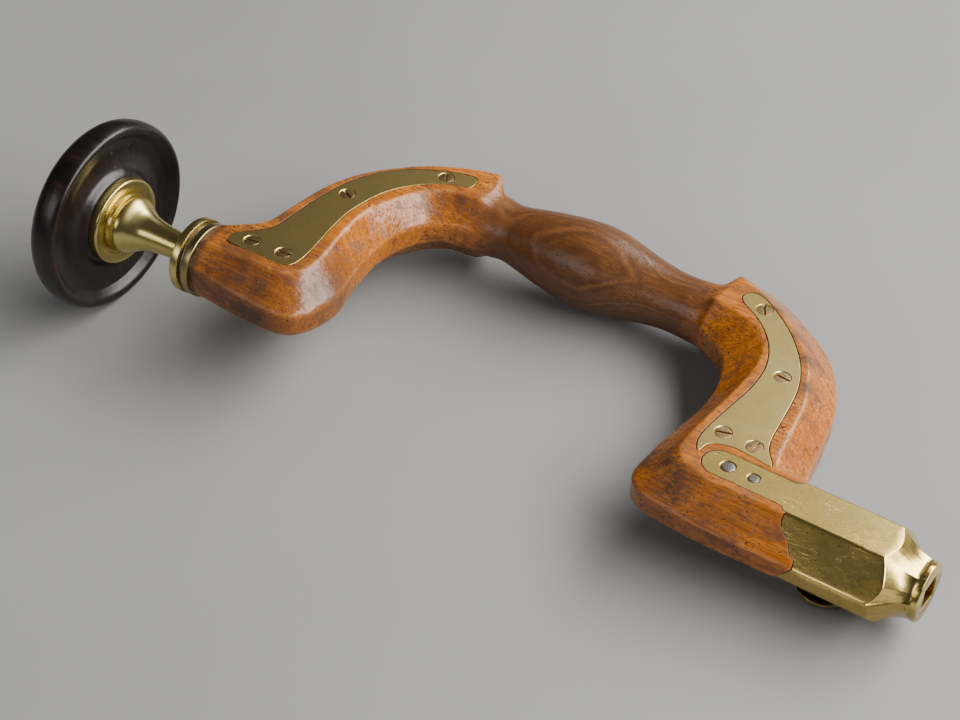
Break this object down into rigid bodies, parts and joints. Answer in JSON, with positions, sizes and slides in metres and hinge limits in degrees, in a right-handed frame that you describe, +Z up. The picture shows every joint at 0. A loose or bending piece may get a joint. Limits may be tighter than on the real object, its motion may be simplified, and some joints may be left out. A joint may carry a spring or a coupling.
{
  "type": "plated bit brace",
  "caption": "Carpenter's plated brace lying flat: beech crank with let-in brass plates, brass pad chuck with square socket and thumb catch, turning dark hardwood head.",
  "frame": {"origin": "centre of the bounding box's bottom face, on the table the brace lies on", "axes": "+X from the head towards the chuck's nose along the table, +Y the side the crank is offset to, +Z up from the table. The turning axis is pitched 3.441 degrees nose down and the crank is rolled 6.189 degrees down about it, which is how the tool lies on its head rim, its catch button and its lower web"},
  "size_m": [0.3662, 0.15, 0.0783],
  "materials": {
    "beech": "satin",
    "ebony": "gloss",
    "plate_brass": "satin",
    "screw_brass": "satin",
    "polished_brass": "polished",
    "steel": "satin",
    "spring_steel": "satin"
  },
  "bodies": {
    "stock": {"stock": "beech", "upper_plate_front": "plate_brass", "upper_plate_back": "plate_brass", "lower_plate_front": "plate_brass", "lower_plate_back": "plate_brass", "upper_screws_front": "screw_brass", "upper_screws_back": "screw_brass", "lower_screws_front": "screw_brass", "lower_screws_back": "screw_brass", "chuck": "polished_brass", "rivet_rear": "steel", "rivet_front": "steel", "catch_pin": "steel", "catch_spring": "spring_steel", "spring_screw": "steel", "ferrule": "polished_brass", "thrust_washer": "steel", "spindle": "steel", "spindle_washer": "steel"},
    "catch": {"catch_lever": "polished_brass"},
    "head": {"head": "ebony", "head_flange": "polished_brass", "neck": "polished_brass"}
  },
  "joints": [
    {"name": "head_spin", "type": "hinge", "parent": "stock", "child": "head", "pos_m": [-0.16285, -0.0358, 0.03868], "axis": [0.9982, 0, -0.06], "continuous": true},
    {"name": "catch_press", "type": "hinge", "parent": "stock", "child": "catch", "pos_m": [0.15593, -0.03696, 0.00875], "axis": [-0.0065, 0.9942, -0.1076], "range_deg": [0, 6.5], "stiffness_Nm_per_rad": 0.25, "springref_deg": -20.05, "deforming": ["catch_spring"]}
  ]
}
